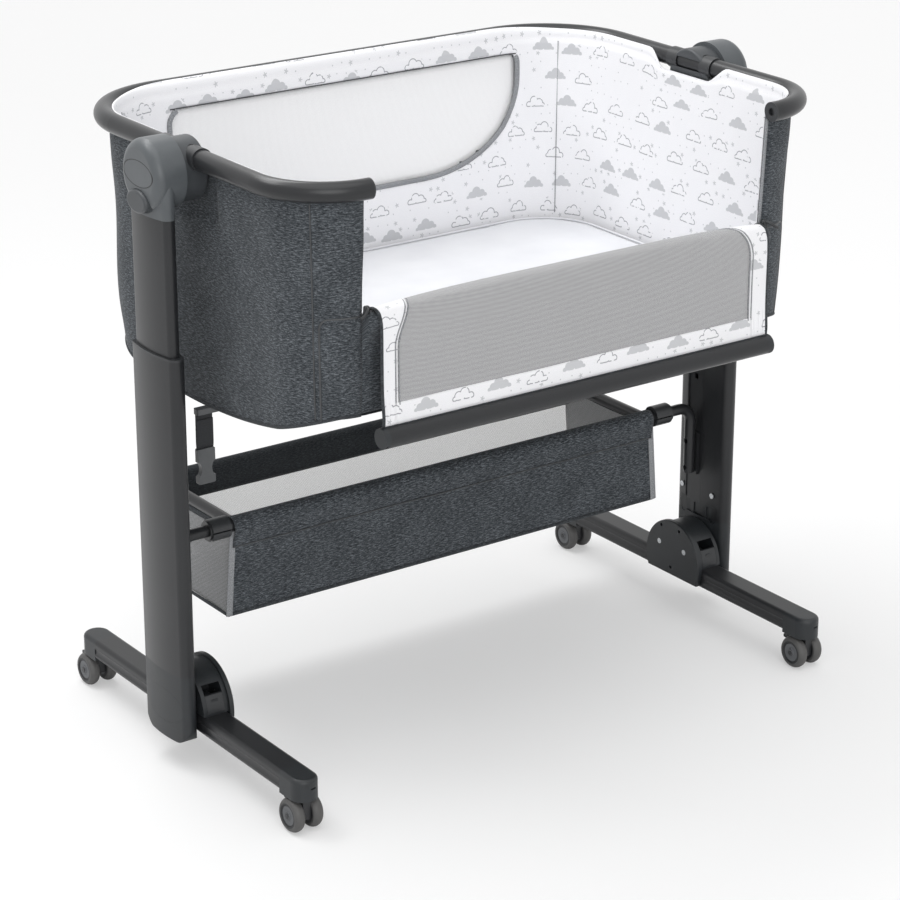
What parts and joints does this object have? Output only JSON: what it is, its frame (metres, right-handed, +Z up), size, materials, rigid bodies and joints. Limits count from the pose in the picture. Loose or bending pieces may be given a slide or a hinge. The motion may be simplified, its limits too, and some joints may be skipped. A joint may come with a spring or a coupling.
{
  "type": "bassinet on stand",
  "caption": "Bedside bassinet with a drop side, hung in an open rim tube between two telescopic posts on folding caster feet, with a cloth storage basket below.",
  "frame": {"origin": "on the floor, midway between the two posts and in the plane of their axes", "axes": "+X along the crib to the right, +Y towards the closed back (the drop side faces -Y), +Z up"},
  "size_m": [0.958, 0.605, 0.846],
  "materials": {
    "frame_metal": "satin gunmetal powder coat",
    "grey_plastic": "fine-grained moulded plastic",
    "dark_plastic": "fine-grained moulded plastic",
    "wheel_rubber": "matt soft tread",
    "steel": "zinc-plated",
    "body_cloth": "woven melange cloth over padding",
    "panel_cloth": "printed border round open mesh",
    "mesh": "fine white netting",
    "board": "plain fibreboard",
    "sheet": "smooth white cotton",
    "webbing": "woven webbing"
  },
  "bodies": {
    "stand": {"lower_tube_left": "frame_metal", "lower_tube_right": "frame_metal", "post_boot_left": "grey_plastic", "post_boot_right": "grey_plastic", "boot_covers": "grey_plastic", "guide_sleeves": "dark_plastic", "hinge_bolts": "steel", "basket_frame": "frame_metal", "basket_clamps": "dark_plastic", "basket_brackets": "frame_metal", "basket_bag": "body_cloth"},
    "foot_left": {"foot_tube_left": "frame_metal", "foot_caps_left": "grey_plastic", "hinge_housing_left": "grey_plastic", "hinge_plate_left": "grey_plastic", "hinge_screws_left": "steel"},
    "fold_button_left": {"fold_button_left": "grey_plastic"},
    "caster_front_left": {"caster_fork_front_left": "dark_plastic"},
    "wheels_front_left": {"caster_wheels_front_left": "wheel_rubber"},
    "brake_front_left": {"caster_brake_front_left": "dark_plastic"},
    "caster_rear_left": {"caster_fork_rear_left": "dark_plastic"},
    "wheels_rear_left": {"caster_wheels_rear_left": "wheel_rubber"},
    "brake_rear_left": {"caster_brake_rear_left": "dark_plastic"},
    "foot_right": {"foot_tube_right": "frame_metal", "foot_caps_right": "grey_plastic", "hinge_housing_right": "grey_plastic", "hinge_plate_right": "grey_plastic", "hinge_screws_right": "steel"},
    "fold_button_right": {"fold_button_right": "grey_plastic"},
    "caster_front_right": {"caster_fork_front_right": "dark_plastic"},
    "wheels_front_right": {"caster_wheels_front_right": "wheel_rubber"},
    "brake_front_right": {"caster_brake_front_right": "dark_plastic"},
    "caster_rear_right": {"caster_fork_rear_right": "dark_plastic"},
    "wheels_rear_right": {"caster_wheels_rear_right": "wheel_rubber"},
    "brake_rear_right": {"caster_brake_rear_right": "dark_plastic"},
    "upper_left": {"upper_tube_left": "frame_metal", "stop_plug_left": "dark_plastic", "shoulder_shell_left": "grey_plastic", "shoulder_hub_left": "dark_plastic", "rim_bushes_left": "grey_plastic", "shoulder_badge_left": "grey_plastic"},
    "upper_right": {"upper_tube_right": "frame_metal", "stop_plug_right": "dark_plastic", "shoulder_shell_right": "grey_plastic", "shoulder_hub_right": "dark_plastic", "rim_bushes_right": "grey_plastic", "shoulder_badge_right": "grey_plastic"},
    "cradle": {"rim_tube": "frame_metal", "rim_plugs": "grey_plastic", "body_shell": "body_cloth", "window_mesh": "mesh", "base_board": "board", "mattress": "sheet", "anchor_straps": "webbing", "strap_fittings": "dark_plastic"},
    "drop_side": {"drop_rail": "frame_metal", "rail_caps": "dark_plastic", "drop_panel": "panel_cloth"},
    "height_button_left": {"height_button_left": "grey_plastic"},
    "height_button_right": {"height_button_right": "grey_plastic"}
  },
  "joints": [
    {"name": "foot_fold_left", "type": "hinge", "parent": "stand", "child": "foot_left", "pos_m": [-0.42, 0, 0.092], "axis": [1, 0, 0], "range_deg": [-90, 0]},
    {"name": "fold_button_press_left", "type": "slide", "parent": "foot_left", "child": "fold_button_left", "axis": [0, 1, 0], "range_m": [0, 0.004], "stiffness_N_per_m": 600},
    {"name": "caster_swivel_front_left", "type": "hinge", "parent": "foot_left", "child": "caster_front_left", "pos_m": [-0.42, -0.264, 0.05], "axis": [0, 0, 1], "continuous": true},
    {"name": "wheel_spin_front_left", "type": "hinge", "parent": "caster_front_left", "child": "wheels_front_left", "pos_m": [-0.42, -0.259, 0.023], "axis": [1, 0, 0], "continuous": true},
    {"name": "brake_press_front_left", "type": "hinge", "parent": "caster_front_left", "child": "brake_front_left", "pos_m": [-0.42, -0.249, 0.0355], "axis": [-1, 0, 0], "range_deg": [0, 15]},
    {"name": "caster_swivel_rear_left", "type": "hinge", "parent": "foot_left", "child": "caster_rear_left", "pos_m": [-0.42, 0.264, 0.05], "axis": [0, 0, 1], "continuous": true},
    {"name": "wheel_spin_rear_left", "type": "hinge", "parent": "caster_rear_left", "child": "wheels_rear_left", "pos_m": [-0.42, 0.269, 0.023], "axis": [1, 0, 0], "continuous": true},
    {"name": "brake_press_rear_left", "type": "hinge", "parent": "caster_rear_left", "child": "brake_rear_left", "pos_m": [-0.42, 0.279, 0.0355], "axis": [-1, 0, 0], "range_deg": [0, 15]},
    {"name": "foot_fold_right", "type": "hinge", "parent": "stand", "child": "foot_right", "pos_m": [0.42, 0, 0.092], "axis": [1, 0, 0], "range_deg": [-90, 0]},
    {"name": "fold_button_press_right", "type": "slide", "parent": "foot_right", "child": "fold_button_right", "axis": [0, 1, 0], "range_m": [0, 0.004], "stiffness_N_per_m": 600},
    {"name": "caster_swivel_front_right", "type": "hinge", "parent": "foot_right", "child": "caster_front_right", "pos_m": [0.42, -0.264, 0.05], "axis": [0, 0, 1], "continuous": true},
    {"name": "wheel_spin_front_right", "type": "hinge", "parent": "caster_front_right", "child": "wheels_front_right", "pos_m": [0.42, -0.259, 0.023], "axis": [1, 0, 0], "continuous": true},
    {"name": "brake_press_front_right", "type": "hinge", "parent": "caster_front_right", "child": "brake_front_right", "pos_m": [0.42, -0.249, 0.0355], "axis": [-1, 0, 0], "range_deg": [0, 15]},
    {"name": "caster_swivel_rear_right", "type": "hinge", "parent": "foot_right", "child": "caster_rear_right", "pos_m": [0.42, 0.264, 0.05], "axis": [0, 0, 1], "continuous": true},
    {"name": "wheel_spin_rear_right", "type": "hinge", "parent": "caster_rear_right", "child": "wheels_rear_right", "pos_m": [0.42, 0.269, 0.023], "axis": [1, 0, 0], "continuous": true},
    {"name": "brake_press_rear_right", "type": "hinge", "parent": "caster_rear_right", "child": "brake_rear_right", "pos_m": [0.42, 0.279, 0.0355], "axis": [-1, 0, 0], "range_deg": [0, 15]},
    {"name": "height_slide", "type": "slide", "parent": "stand", "child": "upper_left", "axis": [0, 0, 1], "range_m": [-0.05, 0.05]},
    {"name": "cradle_tilt", "type": "hinge", "parent": "upper_left", "child": "cradle", "pos_m": [-0.41, 0, 0.82], "axis": [0, 1, 0], "range_deg": [-3, 3]},
    {"name": "height_slide_right", "type": "slide", "parent": "upper_left", "child": "upper_right", "axis": [0, 0, 1], "range_m": [-0.044, 0.044]},
    {"name": "height_button_press_left", "type": "slide", "parent": "upper_left", "child": "height_button_left", "axis": [1, 0, 0], "range_m": [0, 0.004], "stiffness_N_per_m": 600},
    {"name": "height_button_press_right", "type": "slide", "parent": "upper_right", "child": "height_button_right", "axis": [-1, 0, 0], "range_m": [0, 0.004], "stiffness_N_per_m": 600},
    {"name": "drop_side_hinge", "type": "hinge", "parent": "cradle", "child": "drop_side", "pos_m": [0, -0.276, 0.664], "axis": [-1, 0, 0], "range_deg": [0, 180]}
  ],
  "couplings": [
    {"joint": "height_slide_right", "follows": "cradle_tilt", "m_per_rad": -0.82}
  ]
}
